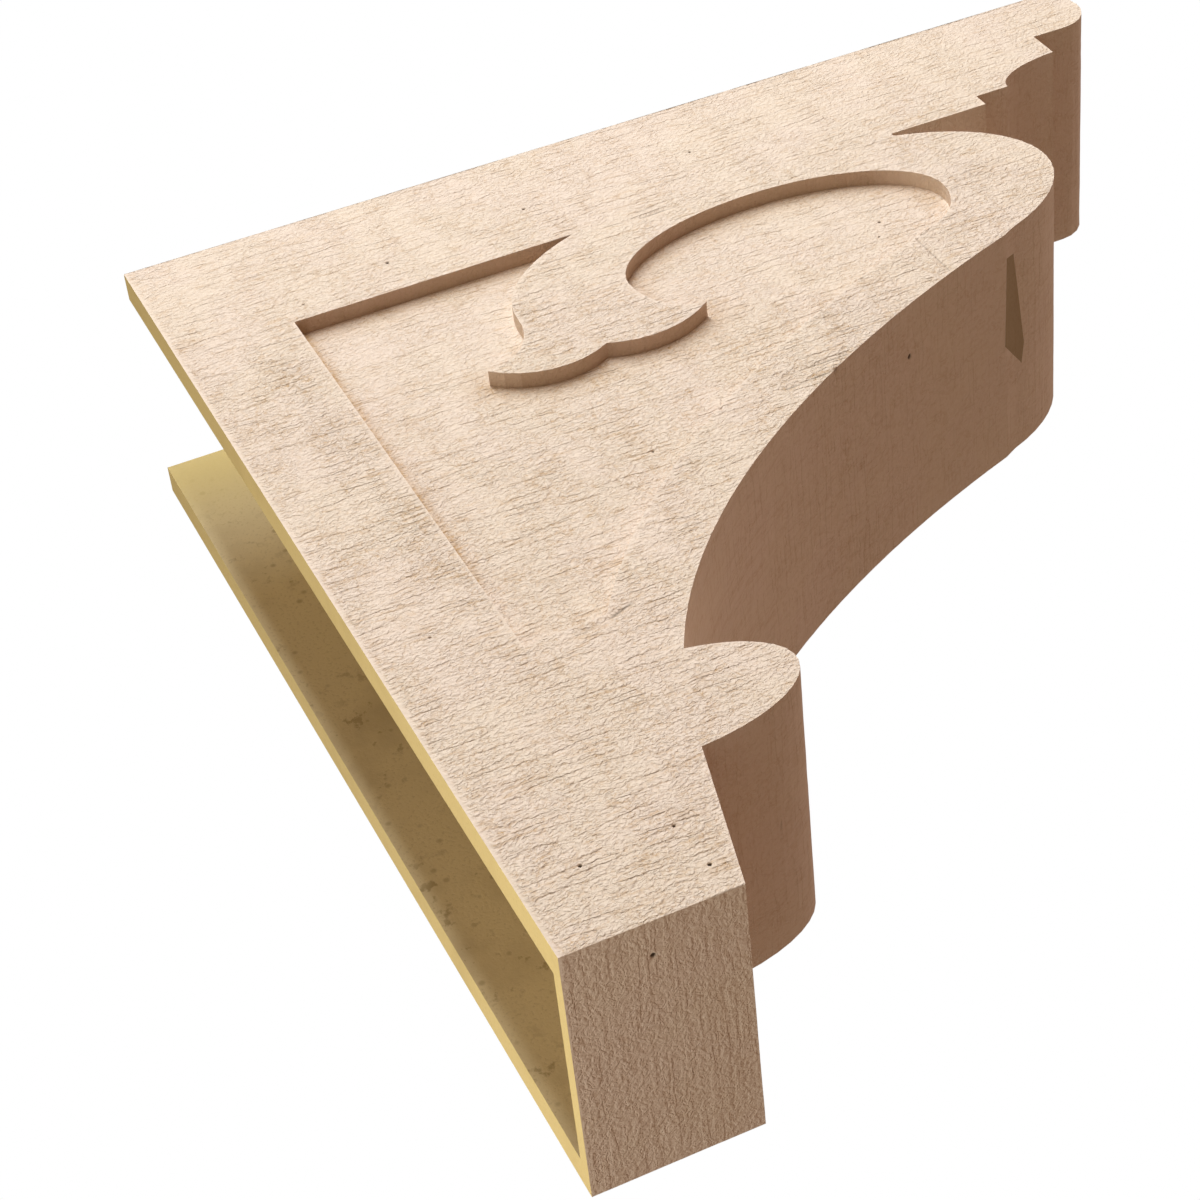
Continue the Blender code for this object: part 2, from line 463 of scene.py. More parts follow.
@dataclass(frozen=True)
class Primer:
    """The factory's tan primer over the moulded timber relief.

    Attributes:
        name: The material's name.
        pale: The colour on the high places.
        deep: The colour of the painted shade in the creases, along the sawn lines and in the deepest sunk
            places, and below the walls and beside the back border.
        blush: The colour of the broad pinker clouds.
        grain: Which way the grain runs.
        lines: The sawn lines' height in millimetres.
        strokes: The torn strokes' height in millimetres.
        wall_lit: The colour that a wall takes in place of its painted shade where it looks towards the
            light.
        gap: The colour of the painted shade inside cracks and broken bubbles.
        line_cell: A sawn line's length along the grain, its width and its depth, in metres.
        band_cell: The same for the bands that cross the grain.
        stroke_cell: A torn stroke's length and width in metres.
    """

    name: str
    pale: Triple
    deep: Triple
    blush: Triple
    grain: Grain
    lines: float
    strokes: float
    wall_lit: Triple = (0.87, 0.72, 0.58)
    gap: Triple = (0.09, 0.06, 0.035)
    line_cell: Triple = (0.034, 0.0027, 0.004)
    band_cell: Triple = (0.012, 0.032, 0.02)
    stroke_cell: tuple[float, float] = (0.0015, 0.0011)

    def drawn(self) -> dict[str, object]:
        """Work out how this finish sets the torn-grain group.

        Returns:
            A value for each of the group's inputs but its place.
        """
        way, side = self.grain.strokes(*self.stroke_cell)
        line, band = self.grain.cells(*self.line_cell), self.grain.cells(*self.band_cell)
        sizes = {"Line_cells": line, "Band_cells": band, "Stroke_way": way, "Stroke_side": side}
        return sizes | {"Lines": self.lines, "Strokes": self.strokes}

    def make(self, group: Tree, border: Tree) -> bpy.types.Material:
        """Build the material.

        Args:
            group: The torn-grain group.
            border: The border-shade group.

        Returns:
            The material.
        """
        material, graph, shader = new_material(self.name)
        place = graph.add("ShaderNodeTexCoord").outputs["Object"]
        settings = {"node_tree": group}
        torn = graph.add("ShaderNodeGroup", settings, Vector=place, **self.drawn()).outputs

        def mark(name: str) -> Socket:
            """Return a point attribute's value."""
            return graph.add("ShaderNodeAttribute", {"attribute_name": name}).outputs["Fac"]

        beside = graph.add("ShaderNodeGroup", {"node_tree": border}, Vector=place).outputs["Shade"]
        cloud = graph.noise(place, 26.0, 5.0, 0.62).outputs["Fac"]
        blushed = graph.mix(graph.remap(cloud, 0.40, 0.60, 0.0, 1.0), self.pale, self.blush)
        force = graph.product(mark("worked"), graph.total(graph.product(mark("ragged"), 0.25), 1.0))
        # Painted shade: the deepest sunk places, the creases and the sawn lines' steps darken towards the
        # deep colour.
        sunk = graph.product(graph.remap(mark("hollow"), 0.5, 1.0, 0.0, 1.0), 0.06)
        creased = graph.product(torn["Crease"], 0.62)
        lined = graph.product(torn["Line"], 0.42)
        # Painted shade below the panels' walls, and the border-shade group's painted shade beside the back
        # border.
        painted_shade = graph.maths("MULTIPLY_ADD", mark("shade"), 0.42, graph.product(beside, 1.5))
        marked = graph.total(graph.product(graph.total(creased, lined, sunk), force), painted_shade)
        toned = graph.mix(graph.maths("MINIMUM", marked, 1.0), blushed, self.deep)
        # Where a wall looks towards the light, its painted shade gives way to the lit colour.
        wall_lit = graph.mix(graph.product(mark("wall_lit"), 0.65), toned, self.wall_lit)
        # Painted shade inside the pits and cracks.
        holes = graph.remap(mark("pit"), 0.05, 0.6, 0.0, 0.9)
        cracks = graph.remap(mark("split"), 0.35, 1.0, 0.0, 0.6)
        shown = graph.mix(graph.most(holes, cracks), wall_lit, self.gap)
        graph.wire(shown, shader.inputs["Base Color"])
        swell = graph.product(torn["Height"], graph.total(force, 0.05))
        bump = graph.add("ShaderNodeBump", None, Strength=1.0, Distance=0.001, Height=swell)
        graph.wire(bump.outputs["Normal"], shader.inputs["Normal"])
        graph.wire(graph.remap(torn["Speck"], 0.3, 0.7, 0.95, 0.8), shader.inputs["Roughness"])
        shader.inputs["Specular IOR Level"].default_value = 0.22
        return material


@dataclass(frozen=True)
class BareFoam:
    """Rigid yellow foam with no primer on it.

    Attributes:
        name: The material's name.
        base: The foam's colour.
        stain: The colour of its brown spots and clouds, and the colour that the low places of its cells
            darken towards.
        spots: How much of it is spotted, 0 to 1.
        bump: The cells' height in metres.
        top: How high the open top lies, just below which the foam goes darker and yellower, in metres.
        top_tone: The darker, yellower colour just below the open top.
    """

    name: str
    base: Triple
    stain: Triple
    spots: float
    bump: float
    top: float = 10.0
    top_tone: Triple = (0.56, 0.43, 0.17)

    def make(self) -> bpy.types.Material:
        """Build the material.

        Returns:
            The material.
        """
        material, graph, shader = new_material(self.name)
        place = graph.add("ShaderNodeTexCoord").outputs["Object"]
        cells = graph.noise(place, 900.0, 3.0, 0.6).outputs["Fac"]
        cloud = graph.noise(place, 30.0, 4.0, 0.6).outputs["Fac"]
        smudge = graph.noise(place, 150.0, 4.0, 0.65).outputs["Fac"]
        bubble = graph.add("ShaderNodeTexVoronoi", None, Vector=place, Scale=130.0).outputs["Distance"]
        spot = graph.product(graph.remap(bubble, 0.06, 0.20, 1.0, 0.0), self.spots)
        cloudy = graph.product(graph.remap(cloud, 0.45, 0.75, 0.0, 1.0), 0.35)
        # The low places of the cells' bump darken towards the stain colour.
        speck = graph.product(graph.remap(cells, 0.34, 0.46, 1.0, 0.0), 0.22)
        gathered = graph.remap(cloud, 0.40, 0.56, 0.0, self.spots * 1.3)
        smudged = graph.product(graph.remap(smudge, 0.56, 0.66, 0.0, 1.0), gathered)
        stained = graph.most(spot, smudged, cloudy, speck)
        level = graph.add("ShaderNodeSeparateXYZ", None, i0=place).outputs["Z"]
        # Darker and yellower just below the open top.
        near_top = graph.remap(level, self.top - 0.055, self.top - 0.004, 0.0, 0.9)
        toned = graph.mix(near_top, graph.mix(stained, self.base, self.stain), self.top_tone)
        bump = graph.add("ShaderNodeBump", None, Strength=1.0, Distance=self.bump, Height=cells)
        graph.wire(toned, shader.inputs["Base Color"])
        graph.wire(bump.outputs["Normal"], shader.inputs["Normal"])
        graph.wire(graph.remap(cells, 0.3, 0.7, 0.9, 0.75), shader.inputs["Roughness"])
        shader.inputs["Specular IOR Level"].default_value = 0.25
        return material


def relief_tree() -> Tree:
    """Make the tree that works the sawn-timber relief into the shell's fine mesh.

    The mesh carries, on its points: inward, the way a point may sink; worked, how strongly it is
    sawn; eased, less than 1 on an arris; moulding, 1 where the grain runs across the width; and
    split and pit, both 0 to 1. Its faces carry their zone. The tree leaves how deep each point
    went in the attribute hollow, which the finishes read together with ragged, with shade, where
    painted shade goes below the walls, and with wall_lit, how far a wall gets its lit colour in
    place of its painted shade.

    Returns:
        A Geometry Nodes group.
    """
    depths = [f"{label} depth" for label in ("Ridge", "Grain", "Split", "Pit")]
    spans = ["Ridge length", "Ridge pitch"]
    inputs = [("Geometry", "NodeSocketGeometry", None)]
    inputs += [(label, "NodeSocketFloat", 0.001) for label in (*depths, *spans, "Seed")]
    inputs += [(zone.label, "NodeSocketMaterial", None) for zone in (Zone.CHEEK, *FINISHED_APART)]
    outputs = [("Geometry", "NodeSocketGeometry")]
    tree, graph, given, put = new_group("sawn relief", "GeometryNodeTree", inputs, outputs)
    ridge, grain, split, pit = (given.outputs[label] for label in depths)

    def named(name: str, data_type: str = "FLOAT") -> Socket:
        """Return the output that reads an attribute."""
        node = graph.add("GeometryNodeInputNamedAttribute", {"data_type": data_type}, Name=name)
        return node.outputs["Attribute"]

    def texture(vector: Socket, scale: float, detail: float, **more: float) -> Socket:
        """Return the value of a noise that the seed moves."""
        seeded = {"Vector": vector, "W": given.outputs["Seed"], "Scale": scale, "Detail": detail, **more}
        return graph.add("ShaderNodeTexNoise", {"noise_dimensions": "4D"}, **seeded).outputs[0]

    def apply(kind: str, geometry: Socket, settings: dict | None = None, **more: object) -> Socket:
        """Pass the geometry through a node and return what comes out."""
        return graph.add(kind, settings, Geometry=geometry, **more).outputs[0]

    place = graph.add("GeometryNodeInputPosition").outputs[0]
    along, aside = (graph.maths("DIVIDE", 1.0, given.outputs[label]) for label in spans)
    on_cheek, on_moulding = graph.join(aside, along, aside), graph.join(along, aside, aside)
    ways = {"i0": named("moulding"), "i4": on_cheek, "i5": on_moulding}
    chosen = graph.add("ShaderNodeMix", {"data_type": "VECTOR"}, **ways).outputs[1]
    stretched = graph.vector("MULTIPLY", place, chosen).outputs[0]
    coarse = texture(stretched, 1.0, 2.5, Roughness=0.55, Distortion=0.35)
    fine = texture(stretched, 2.6, 2.0, Roughness=0.6)
    ridges, fibres = (graph.remap(value, 0.34, 0.66, 1.0, 0.0) for value in (coarse, fine))
    patchy = graph.remap(texture(place, 24.0, 2.0), 0.38, 0.62, 0.35, 1.0)
    worked = graph.product(named("worked"), named("eased"), patchy)
    sawn = graph.total(graph.product(ridges, ridge, worked), graph.product(fibres, grain, worked))
    cracked = graph.product(named("split"), split)
    sink = graph.total(sawn, graph.total(cracked, graph.product(named("pit"), pit)))
    hollow = graph.maths("DIVIDE", graph.total(sawn, cracked), graph.total(ridge, grain))
    offset = graph.scaled(named("inward", "FLOAT_VECTOR"), sink)
    moved = apply("GeometryNodeSetPosition", given.outputs["Geometry"], Offset=offset)
    stored = {"data_type": "FLOAT", "domain": "POINT"}
    kept = apply("GeometryNodeStoreNamedAttribute", moved, stored, Name="hollow", Value=hollow)
    dressed = apply("GeometryNodeRealizeInstances", kept)
    dressed = apply("GeometryNodeSetMaterial", dressed, Material=given.outputs[Zone.CHEEK.label])
    number = named("zone", "INT")
    equal = {"data_type": "INT", "operation": "EQUAL"}
    for zone in FINISHED_APART:
        same = graph.add("FunctionNodeCompare", equal, i2=number, i3=zone.value).outputs[0]
        finish = given.outputs[zone.label]
        dressed = apply("GeometryNodeSetMaterial", dressed, Selection=same, Material=finish)
    graph.wire(dressed, put.inputs[0])
    return tree


def set_inputs(modifier: bpy.types.NodesModifier, values: dict[str, object]) -> None:
    """Set a Geometry Nodes modifier's inputs by their names in its tree.

    Args:
        modifier: The modifier, before its object is first evaluated.
        values: The value for each named input.
    """
    for item in modifier.node_group.interface.items_tree:
        if item.item_type == "SOCKET" and item.in_out == "INPUT" and item.name in values:
            modifier[item.identifier] = values[item.name]


@dataclass
class Skin:
    """The shell's surface while it is cut into fine faces.

    Attributes:
        shape: The mesh.
        zone: The layer that holds the number of each face's zone.
    """

    shape: bmesh.types.BMesh
    zone: bmesh.types.BMLayerItem

    def kind(self, face: Face) -> Zone:
        """Return a face's zone."""
        return Zone(face[self.zone])

    def of(self, *zones: Zone) -> list[Face]:
        """Return the faces of some zones."""
        numbers = {zone.value for zone in zones}
        return [face for face in self.shape.faces if face[self.zone] in numbers]

    def slice(self, faces: Iterable[Face], normal: Vector, stations: Iterable[float]) -> list[Face]:
        """Cut faces by a row of parallel planes.

        Args:
            faces: The faces to cut.
            normal: The planes' normal.
            stations: The planes' distances along the normal.

        Returns:
            All the faces that the cuts left.
        """
        done: list[Face] = []
        left = list(faces)
        for station in sorted(stations):
            parts: set = set(left)
            for face in left:
                parts.update(face.edges)
                parts.update(face.verts)
            plane = {"plane_co": normal * station, "plane_no": normal}
            cut = bmesh.ops.bisect_plane(self.shape, geom=list(parts), dist=1e-7, **plane)
            left = []
            for item in cut["geom"]:
                if isinstance(item, Face):
                    beyond = item.calc_center_median().dot(normal) > station
                    (left if beyond else done).append(item)
            if not left:
                break
        return done + left

    def overhead_walls(self) -> BVHTree:
        """Find the panels' walls that look down, below which the panels get painted shade.

        Returns:
            A search tree of them.
        """
        walls = [face for face in self.of(Zone.WALL) if face.normal.z < -0.3]
        corners = [vert.co.copy() for face in walls for vert in face.verts]
        faces, first = [], 0
        for face in walls:
            faces.append(tuple(range(first, first + len(face.verts))))
            first += len(face.verts)
        return BVHTree.FromPolygons(corners, faces)


@dataclass
class Shell:
    """The one-piece casting: a fine copy of the solid, sawn, cracked, pitted and painted.

    Attributes:
        layout: The corbel's sizes.
        shade_reach: How far the painted shade below the panels' walls reaches, in metres.
        across_cut: Spacing of the cuts across the cheeks' grain in metres.
        along_cut: Spacing of the cuts along the cheeks' grain.
        width_cut: Spacing of the cuts along the mouldings' grain.
        seed: Seed for the scattered dents and the relief.
        arris: How deep the relief is on an arris, as a share.
        bottom: How strongly the bottom is worked.
        splits: The cracks that the photographed cheek shows.
        pits: The dents that the photographed cheek shows, in inches out and down.
        panel_pits: Those that its panel shows.
        sweep_pit: The dent in the sweep: inches out, down, and in from the photographed cheek.
        bottom_pit: The dent in the bottom, at its X and Y in metres.
        hidden_pits: How many dents the hidden cheek gets.
        bands: The rougher bands: inches out, from and to inches down, and half the width.
        patch: The corners of the spot that the primer misses, in inches out and across.
        dents: All the dents, once they are laid out.
    """

    layout: Layout
    shade_reach: float = 0.0125
    across_cut: float = 0.00096
    along_cut: float = 0.0024
    width_cut: float = 0.0030
    seed: int = 7
    arris: float = 0.35
    bottom: float = 0.42
    splits: Sequence[Split] = (
        Split((9.07, 4.66), (9.07, 5.62), 0.024, 0.7),
        Split((6.05, 6.78), (6.95, 6.70), 0.022, 1.0),
        Split((6.12, 6.53), (7.20, 6.49), 0.022, 0.9),
        Split((2.20, 9.64), (2.55, 9.60), 0.022, 0.8),
        Split((2.55, 9.60), (2.93, 9.45), 0.026, 1.0),
        Split((6.20, 2.36), (6.95, 2.32), 0.022, 0.9),
        Split((6.25, 2.20), (6.60, 2.17), 0.020, 0.8),
        Split((10.10, 3.76), (10.70, 3.76), 0.024, 0.9),
        Split((2.70, 10.72), (3.25, 10.62), 0.024, 0.8),
        Split((4.56, 7.20), (4.57, 8.40), 0.022, 0.5),
    )
    pits: Sequence[tuple[float, float]] = (
        (7.55, 1.20), (1.75, 12.90), (1.82, 13.57), (0.72, 8.90),
        (0.70, 12.95), (5.07, 1.32), (1.78, 1.92), (3.05, 1.58),
    )
    panel_pits: Sequence[tuple[float, float]] = ((8.85, 4.10), (9.02, 3.79), (4.36, 6.80))
    sweep_pit: Triple = (8.24, 5.98, 0.77)
    bottom_pit: tuple[float, float] = (-0.0326, -0.0246)
    hidden_pits: int = 9
    bands: Sequence[tuple[float, float, float, float]] = ((1.0, 2.8, 8.2, 0.5), (7.0, 5.0, 6.6, 1.2))
    patch: Sequence[tuple[float, float]] = (
        (10.09, 0.38), (10.24, 0.40), (10.44, 1.88),
        (10.39, 2.19), (10.045, 1.71),
    )
    dents: list[Dent] = field(default_factory=list)

    def zone_of(self, face: Face) -> Zone:
        """Tell what a face of the plain solid is, from its place and the way it looks.

        Args:
            face: The face.

        Returns:
            Its zone.
        """
        layout = self.layout
        sides = [vert.co.x for vert in face.verts]
        nearest, farthest = min(map(abs, sides)), max(map(abs, sides))
        if abs(face.normal.x) > 0.9:
            across = abs(face.calc_center_median().x)
            if across > layout.half - TOUCH:
                return Zone.CHEEK
            return Zone.CORE if across < layout.inner + TOUCH else Zone.FLOOR
        if all(vert.co.y > layout.high.y - TOUCH for vert in face.verts):
            return Zone.RIM
        if all(vert.co.z > layout.high.z - TOUCH for vert in face.verts):
            beside_hollow = nearest > layout.inner - 0.01 * INCH
            return Zone.RIM if beside_hollow else Zone.MOULDING
        if farthest < layout.inner + TOUCH:
            return Zone.CORE
        in_one_cheek = max(sides) * min(sides) > 0.0
        return Zone.WALL if nearest > layout.sunk - TOUCH and in_one_cheek else Zone.MOULDING

    @staticmethod
    def stations(low: float, high: float, spacing: float, start: float = 0.37) -> list[float]:
        """Space places evenly between two limits, off the limits themselves.

        Args:
            low: The lower limit.
            high: The upper limit.
            spacing: How far apart the places are.
            start: How far past the lower limit the first one is, as a share of the spacing.

        Returns:
            The places.
        """
        count = math.floor((high - low) / spacing) + 1
        places = [low + (index + start) * spacing for index in range(count)]
        return [place for place in places if place < high]

    def scatter(self) -> None:
        """Lay out the dents: the photographed cheek's own, and a few on each other side."""
        dice = random.Random(self.seed)
        layout = self.layout
        for shown, across in ((self.pits, -layout.half), (self.panel_pits, -layout.sunk)):
            for out, down in shown:
                self.dents.append(Dent(tuple(layout.at(out, down, across)), dice.uniform(0.0005, 0.0008)))
        self.dents.append(Dent((*self.bottom_pit, layout.low.z), 0.0009))
        out, down, inset = self.sweep_pit
        self.dents.append(Dent(tuple(layout.at(out, down, inset * INCH - layout.half)), 0.0011))
        for _ in range(self.hidden_pits):
            out = dice.uniform(0.4, 9.0)
            down = dice.uniform(0.4, 10.5 - 0.35 * out)
            self.dents.append(Dent(tuple(layout.at(out, down, layout.half)), dice.uniform(0.0006, 0.0009)))

    def refine(self, skin: Skin) -> None:
        """Cut the outer faces finely enough to carry the relief.

        Args:
            skin: The surface.
        """
        low, high = self.layout.low, self.layout.high
        across, out, up = AXES
        outer = (Zone.CHEEK, Zone.FLOOR, Zone.MOULDING, Zone.WALL)
        skin.slice(skin.of(*outer), up, self.stations(low.z, high.z, self.across_cut))
        upright = {split.start[0] for split in self.splits if abs(split.end[0] - split.start[0]) < 0.05}
        beside = [-(place + shift) * INCH for place in upright for shift in (-0.035, 0.0, 0.035)]
        skin.slice(skin.of(*outer), out, self.stations(low.y, high.y, self.along_cut) + beside)
        level = [face for face in skin.of(Zone.MOULDING) if abs(face.normal.z) > 0.75]
        skin.slice(level, out, self.stations(low.y, high.y, self.along_cut, 0.87))
        skin.slice(skin.of(Zone.MOULDING), across, self.stations(low.x, high.x, self.width_cut))
        LOG.info("cut into %d faces", len(skin.shape.faces))
        for dent in self.dents:
            self.refine_near(skin, dent)
        self.mark_patch(skin)

    def refine_near(self, skin: Skin, dent: Dent) -> None:
        """Cut the faces round a dent into much smaller ones.

        Args:
            skin: The surface.
            dent: The dent.
        """
        middle = Vector(dent.place)
        reach = dent.radius * 1.7
        within = reach + self.along_cut
        outer = skin.of(*WORKED)
        close = [face for face in outer if (face.calc_center_median() - middle).length < within]
        if not close:
            return
        normal = close[0].normal
        for axis in AXES:
            if abs(normal.dot(axis)) < 0.9:
                centre = middle.dot(axis)
                close = skin.slice(close, axis, [centre + reach * (step / 4.0) for step in range(-4, 5)])

    def mark_patch(self, skin: Skin) -> None:
        """Cut out the spot on the big lobe's underside that the primer misses.

        Args:
            skin: The surface.
        """
        corners = [self.layout.at(out, 0.0, side * INCH - self.layout.half) for out, side in self.patch]
        middle = sum(corners, Vector()) / len(corners)
        inside = []
        for face in skin.of(Zone.MOULDING):
            centre = face.calc_center_median()
            on_lobe = 4.0 < self.layout.read(centre)[1] < 5.6
            if on_lobe and (centre.xy - middle.xy).length < 1.6 * INCH:
                inside.append(face)
        for corner, ahead in zip(corners, corners[1:] + corners[:1]):
            side = (ahead - corner).cross(AXES[2]).normalized()
            if side.dot(middle - corner) > 0.0:
                side.negate()
            edge = corner.dot(side)
            cut = skin.slice(inside, side, [edge])
            inside = [face for face in cut if face.calc_center_median().dot(side) < edge]
        for face in inside:
            face[skin.zone] = Zone.PATCH.value

    def near_split(self, place: Vector) -> float:
        """Find how deep the photographed cheek's cracks are at a place.

        Args:
            place: The place in metres.

        Returns:
            The depth, 0 to 1.
        """
        out, down = self.layout.read(place)
        depth = 0.0
        for split in self.splits:
            start, run = split.start, (split.end[0] - split.start[0], split.end[1] - split.start[1])
            length = run[0] ** 2 + run[1] ** 2
            along = clamp(((out - start[0]) * run[0] + (down - start[1]) * run[1]) / length)
            gap = math.hypot(out - start[0] - along * run[0], down - start[1] - along * run[1])
            taper = min(1.0, 8.0 * min(along, 1.0 - along) + 0.25)
            depth = max(depth, split.depth * taper * max(0.0, 1.0 - gap / (2.0 * split.width)))
        return depth

    def near_band(self, place: Vector) -> float:
        """Find how near a place is to the rough bands that run down the cheeks.

        Args:
            place: The place in metres.

        Returns:
            The nearness, 0 to 1.
        """
        out, down = self.layout.read(place)
        near = 0.0
        for middle, top, bottom, width in self.bands:
            beside = abs(out - middle - 0.05 * (down - top)) / width
            beyond = max(0.0, top - down, down - bottom) / 0.8
            near = max(near, max(0.0, 1.0 - beside) * max(0.0, 1.0 - beyond))
        return near

    def force(self, face: Face, zone: Zone, place: Vector) -> float:
        """Find how strongly the timber was torn at a place on a face.

        Args:
            face: The face.
            zone: The face's zone.
            place: The place in metres.

        Returns:
            The strength, 0 to 1.
        """
        usual, down = WORKED[zone], self.layout.read(place)[1]
        if zone is Zone.FLOOR:
            return usual + (1.0 - usual) * smooth(down, 4.0, 6.5)
        if zone is Zone.CHEEK:
            return usual * (0.8 + 0.2 * clamp((down - 1.2) / 2.4))
        on_bottom = face.normal.z < -0.99 and place.z < self.layout.low.z + 0.001
        return self.bottom if zone is Zone.MOULDING and on_bottom else usual

    @staticmethod
    def lit_share(face: Face, zone: Zone) -> float:
        """Find how far a panel's wall that looks back or up gets its lit colour in place of its painted
        shade.

        Args:
            face: The face.
            zone: The face's zone.

        Returns:
            The share, 0 to 1.
        """
        if zone is not Zone.WALL:
            return 0.0
        if face.normal.z > 0.1 or face.normal.y < -0.9:
            return 0.8
        return smooth(face.normal.y, 0.35, 0.85)

    def marks_at(
        self, place: Vector, kinds: dict[Face, Zone], corner: bool, walls: BVHTree
    ) -> dict[str, float]:
        """Work out what a point carries for the relief tree and the finishes.

        Args:
            place: The point's place.
            kinds: The faces round it, each with its zone.
            corner: Whether they look different ways.
            walls: The walls below which the panels get painted shade.

        Returns:
            The value of each attribute.
        """
        zones = set(kinds.values())
        outer = {face: zone for face, zone in kinds.items() if zone in WORKED}
        bare = Zone.RIM in zones or Zone.CORE in zones
        # Painted shade on a panel's floor near a wall that looks down.
        gap = walls.find_nearest(place, self.shade_reach)[3] if Zone.FLOOR in zones else None
        photographed = place.x < -(self.layout.half + self.layout.sunk) / 2.0
        gaps = ((place - Vector(dent.place)).length / dent.radius for dent in self.dents)
        return {
            "worked": 0.0 if bare else min(self.force(face, zone, place) for face, zone in outer.items()),
            "eased": self.arris if corner else 1.0,
            "moulding": float(all(zone in (Zone.MOULDING, Zone.PATCH) for zone in outer.values())),
            "split": self.near_split(place) if photographed and not bare else 0.0,
            "pit": max(0.0, 1.0 - min(gaps) ** 2),
            "ragged": self.near_band(place),
            "shade": 0.0 if gap is None else 1.0 - gap / self.shade_reach,
            "wall_lit": max(self.lit_share(face, zone) for face, zone in outer.items()),
        }

    def describe_points(self, skin: Skin) -> None:
        """Leave on each outer point what the relief tree and the finishes read.

        Args:
            skin: The surface.
        """
        layers = skin.shape.verts.layers
        inward = layers.float_vector.new("inward")
        names = ("worked", "eased", "moulding", "split", "pit", "ragged", "shade", "wall_lit")
        marks = {name: layers.float.new(name) for name in names}
        walls = skin.overhead_walls()
        for vert in skin.shape.verts:
            kinds = {face: skin.kind(face) for face in vert.link_faces}
            normals: list[Vector] = []
            for face, zone in kinds.items():
                if zone in WORKED and all(face.normal.dot(known) < 0.8 for known in normals):
                    normals.append(face.normal.copy())
            if normals:
                vert[inward] = -sum(normals, Vector())
                for name, value in self.marks_at(vert.co, kinds, len(normals) > 1, walls).items():
                    vert[marks[name]] = value

    def fine_mesh(self) -> bpy.types.Mesh:
        """Cut a fine closed mesh of the solid, with its zones and sharp edges marked.

        Returns:
            The mesh.
        """
        shape = bmesh.new()
        shape.from_mesh(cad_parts[SHELL_NODE].data)
        bmesh.ops.remove_doubles(shape, verts=shape.verts, dist=1e-6)
        flat = {"angle_limit": math.radians(0.5), "use_dissolve_boundaries": False}
        bmesh.ops.dissolve_limit(shape, verts=shape.verts, edges=shape.edges, **flat)
        skin = Skin(shape, shape.faces.layers.int.new("zone"))
        for face in shape.faces:
            face[skin.zone] = self.zone_of(face).value
        for edge in shape.edges:
            edge.smooth = edge.calc_face_angle(0.0) < math.radians(35.0)
        self.refine(skin)
        self.describe_points(skin)
        bmesh.ops.triangulate(shape, faces=[face for face in shape.faces if len(face.verts) > 4])
        for face in shape.faces:
            face.smooth = True
        mesh = bpy.data.meshes.new("corbel")
        shape.to_mesh(mesh)
        shape.free()
        return mesh

    def finishes(self) -> dict[str, bpy.types.Material]:
        """Make the finishes.

        Returns:
            A material for each zone that has its own, by the zone's label.
        """
        groups = (torn_grain_group(), border_shade_group(self.layout))
        on_cheek = Grain((0.0, -1.0, 0.0), (0.0, 0.0, 1.0), (1.0, 0.0, 0.0))
        on_moulding = Grain((1.0, 0.0, 0.0), (0.0, 0.7, 0.7), (0.0, 0.7, 0.7))
        tan = ((0.87, 0.725, 0.58), (0.58, 0.375, 0.20), (0.87, 0.72, 0.59))
        # The walls' primer is the tan darkened as painted shade; wall_lit brings the tan back on walls
        # that look towards the light.
        brown = ((0.56, 0.405, 0.29), (0.40, 0.27, 0.17), (0.57, 0.405, 0.30))
        primers = {
            Zone.CHEEK: Primer("primer on the cheeks", *tan, on_cheek, 0.36, 0.40),
            Zone.MOULDING: Primer("primer on the mouldings", *tan, on_moulding, 0.24, 0.42),
            Zone.WALL: Primer("shaded primer on the walls", *brown, on_moulding, 0.2, 0.44),
        }
        skin, cells = ((0.74, 0.61, 0.365), (0.32, 0.22, 0.10)), ((0.79, 0.62, 0.27), (0.56, 0.41, 0.16))
        foams = {
            Zone.CORE: BareFoam("foam core skin", *skin, 0.5, 0.0001, self.layout.high.z),
            Zone.RIM: BareFoam("bare foam", *cells, 0.15, 0.00015),
            Zone.PATCH: BareFoam("unprimed patch", (0.44, 0.32, 0.18), (0.32, 0.23, 0.11), 0.2, 0.0002),
        }
        made = {zone.label: primer.make(*groups) for zone, primer in primers.items()}
        return made | {zone.label: foam.make() for zone, foam in foams.items()}

    def build(self) -> bpy.types.Object:
        """Build the shell.

        Returns:
            One plain mesh object, with the relief in its mesh.
        """
        self.scatter()
        finishes = self.finishes()
        piece = link(self.fine_mesh(), "corbel")
        modifier = piece.modifiers.new("relief", "NODES")
        modifier.node_group = relief_tree()
        ridges = {"Ridge depth": 0.00022, "Ridge length": 0.014, "Ridge pitch": 0.0034}
        others = {"Grain depth": 0.0001, "Split depth": 0.0007, "Pit depth": 0.0012}
        set_inputs(modifier, ridges | others | finishes | {"Seed": float(self.seed)})
        bpy.context.view_layer.update()
        evaluated = piece.evaluated_get(bpy.context.evaluated_depsgraph_get())
        worked = bpy.data.meshes.new_from_object(evaluated)
        piece.modifiers.remove(modifier)
        piece.data = worked
        LOG.info("corbel: %d triangles", sum(len(face.vertices) - 2 for face in worked.polygons))
        return piece


@dataclass(frozen=True)
class Lamp:
    """A soft lamp that the camera doesn't see.

    Attributes:
        name: Its name.
        place: Where it stands, in metres.
        size: Its width and height in metres.
        power: Its power in watts.
        colour: Its colour.
        aim: The place that it points at.
    """

    name: str
    place: Triple
    size: tuple[float, float]
    power: float
    colour: Triple
    aim: Triple = (0.0, -0.15, 0.20)

    def build(self) -> None:
        """Put the lamp up."""
        data = bpy.data.lights.new(self.name, "AREA")
        data.shape = "RECTANGLE"
        data.size, data.size_y = self.size
        data.energy = self.power
        data.color = self.colour
        lamp = link(data, self.name)
        lamp.location = self.place
        lamp.rotation_euler = (Vector(self.place) - Vector(self.aim)).to_track_quat("Z", "Y").to_euler()
        lamp.visible_camera = False


